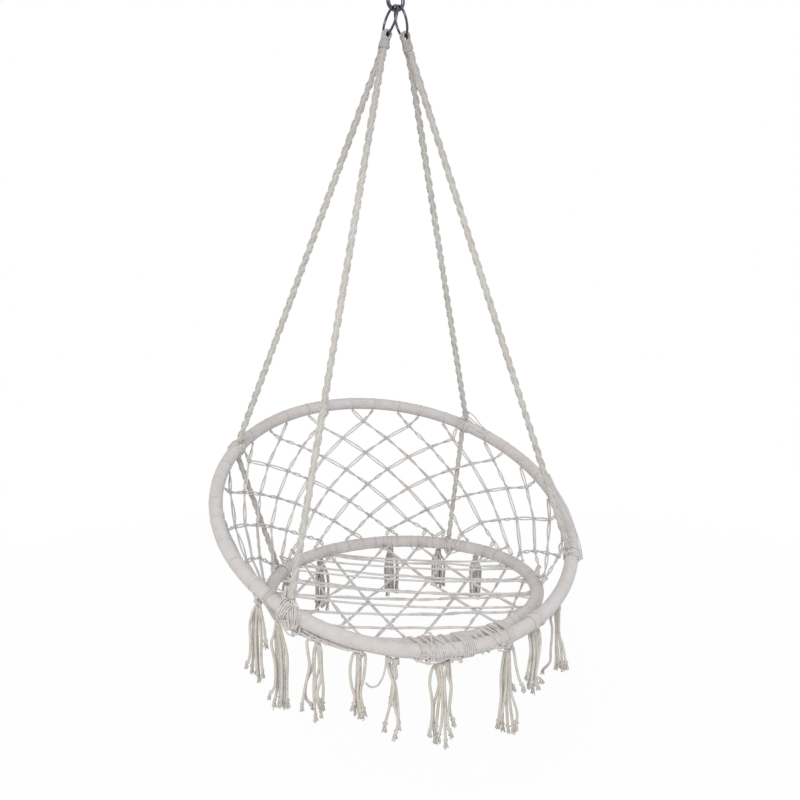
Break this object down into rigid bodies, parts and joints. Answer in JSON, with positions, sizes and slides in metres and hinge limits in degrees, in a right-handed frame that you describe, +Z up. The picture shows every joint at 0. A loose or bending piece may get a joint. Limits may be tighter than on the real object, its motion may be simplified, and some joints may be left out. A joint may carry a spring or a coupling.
{
  "type": "hanging hammock chair",
  "caption": "Hanging macrame hammock chair: cord-wrapped steel hoops joined by knotted nets, hung on plaited ropes from steel rings and a snap hook, with knotted tassels below.",
  "frame": {"origin": "the inner top of the snap hook's upper bow, where the chair hangs", "axes": "+Z up; -Y the way the sitter faces; +X to the right as seen from the front"},
  "size_m": [0.807, 0.7225, 1.4503],
  "materials": {
    "hardware_steel": "polished",
    "hoop_steel": "satin",
    "cotton_cover": "matte",
    "cotton_net": "matte",
    "cotton_rope": "matte",
    "cotton_tassel": "matte"
  },
  "bodies": {
    "hook": {"hook_body": "hardware_steel", "gate_rivet": "hardware_steel"},
    "gate": {"gate": "hardware_steel", "gate_spring": "hardware_steel"},
    "rings": {"ring_left": "hardware_steel", "ring_right": "hardware_steel"},
    "chair": {"rope_eye_left": "cotton_rope", "rope_eye_right": "cotton_rope", "rope_binding_left": "cotton_rope", "rope_binding_right": "cotton_rope", "rope_front_left": "cotton_rope", "rope_front_right": "cotton_rope", "rope_back_left": "cotton_rope", "rope_back_right": "cotton_rope", "rope_lashing_front_left": "cotton_rope", "rope_lashing_front_right": "cotton_rope", "rope_lashing_back_left": "cotton_rope", "rope_lashing_back_right": "cotton_rope", "stay_left": "cotton_rope", "stay_right": "cotton_rope", "hoop_lashing_left": "cotton_rope", "hoop_lashing_right": "cotton_rope", "large_hoop_tube": "hoop_steel", "large_hoop_cover": "cotton_cover", "back_net": "cotton_net", "tassel_front_1": "cotton_tassel", "tassel_front_2": "cotton_tassel", "tassel_front_3": "cotton_tassel", "tassel_front_4": "cotton_tassel", "tassel_front_5": "cotton_tassel", "tassel_front_6": "cotton_tassel", "tassel_front_7": "cotton_tassel", "tassel_front_8": "cotton_tassel", "tassel_front_9": "cotton_tassel", "loose_cord": "cotton_tassel"},
    "seat": {"seat_hoop_tube": "hoop_steel", "seat_hoop_cover": "cotton_cover", "seat_net": "cotton_net", "stay_lashing_left": "cotton_rope", "stay_lashing_right": "cotton_rope", "tassel_back_1": "cotton_tassel", "tassel_back_2": "cotton_tassel", "tassel_back_3": "cotton_tassel", "tassel_back_4": "cotton_tassel", "tassel_back_5": "cotton_tassel"}
  },
  "joints": [
    {"name": "gate_hinge", "type": "hinge", "parent": "hook", "child": "gate", "pos_m": [0.016, 0, -0.042], "axis": [0, -1, 0], "range_deg": [0, 25], "stiffness_Nm_per_rad": 0.3, "springref_deg": -20.05},
    {"name": "side_swing", "type": "hinge", "parent": "hook", "child": "rings", "pos_m": [0, 0, -0.052], "axis": [0, 1, 0], "range_deg": [-20, 20]},
    {"name": "fore_aft_swing", "type": "hinge", "parent": "rings", "child": "chair", "pos_m": [0, 0, -0.08769], "axis": [1, 0, 0], "range_deg": [-16, 16]},
    {"name": "seat_fold", "type": "hinge", "parent": "chair", "child": "seat", "pos_m": [0, -0.337, -1.248], "axis": [1, 0, 0], "range_deg": [0, 24], "deforming": ["back_net", "stay_left", "stay_right", "hoop_lashing_left", "hoop_lashing_right"]}
  ]
}
